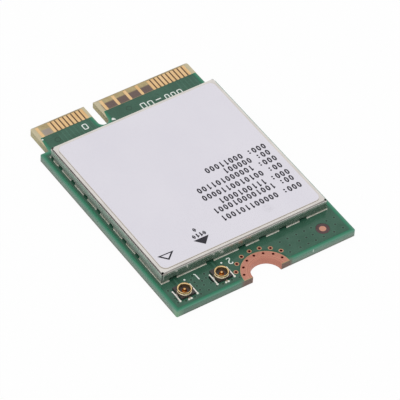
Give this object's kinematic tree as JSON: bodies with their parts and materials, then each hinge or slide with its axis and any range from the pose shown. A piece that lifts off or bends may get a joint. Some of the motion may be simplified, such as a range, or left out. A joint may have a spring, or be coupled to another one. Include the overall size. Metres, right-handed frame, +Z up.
{
  "type": "wireless network card",
  "caption": "Flat plug-in radio card with gold edge contacts, a keyed tab, a plated half-hole for a screw, round antenna sockets and a labelled soldered metal shield can.",
  "frame": {"origin": "centre of the screw notch's circle, on the underside of the board", "axes": "+Y along the board from the screw edge to the gold contacts, +Z up through the shield can and label, +X to the right seen from the screw edge with the label up"},
  "size_m": [0.022, 0.03, 0.0023],
  "materials": {
    "board_green": "green solder mask over glass-epoxy laminate",
    "contact_gold": "hard gold plate, smooth",
    "bare_copper": "bare copper with a clear protective film",
    "shield_metal": "rolled nickel-silver sheet, satin",
    "solder_tin": "reflowed tin solder, bright",
    "label_film": "printed white film, satin",
    "socket_plastic": "black moulded plastic",
    "socket_gold": "gold-plated stamped metal",
    "chip_black": "moulded epoxy, fine matte",
    "crystal_ceramic": "fired ceramic",
    "crystal_metal": "plated lid",
    "diplexer_ceramic": "pale fired ceramic",
    "ferrite": "pressed ferrite",
    "capacitor_ceramic": "tan ceramic",
    "resistor_black": "black overglaze",
    "terminal_tin": "tinned ends, satin"
  },
  "bodies": {
    "root": {"circuit_board": "board_green", "top_contacts": "contact_gold", "bottom_contacts": "contact_gold", "mounting_pad": "bare_copper", "ground_vias": "bare_copper", "fiducial_dot": "bare_copper", "test_pads": "bare_copper", "shield_can": "shield_metal", "shield_solder": "solder_tin", "label": "label_film", "antenna_socket_1_housing": "socket_plastic", "antenna_socket_1_shell": "socket_gold", "antenna_socket_1_pin": "socket_gold", "antenna_socket_1_solder": "solder_tin", "antenna_socket_2_housing": "socket_plastic", "antenna_socket_2_shell": "socket_gold", "antenna_socket_2_pin": "socket_gold", "antenna_socket_2_solder": "solder_tin", "radio_chip": "chip_black", "radio_chip_pads": "terminal_tin", "crystal_base": "crystal_ceramic", "crystal_lid": "crystal_metal", "memory_chip": "chip_black", "front_end_modules": "chip_black", "diplexers": "diplexer_ceramic", "power_inductors": "ferrite", "inductor_terminals": "terminal_tin", "capacitors": "capacitor_ceramic", "capacitor_terminals": "terminal_tin", "small_capacitors": "capacitor_ceramic", "small_capacitor_terminals": "terminal_tin", "resistors": "resistor_black", "resistor_terminals": "terminal_tin"}
  },
  "joints": []
}
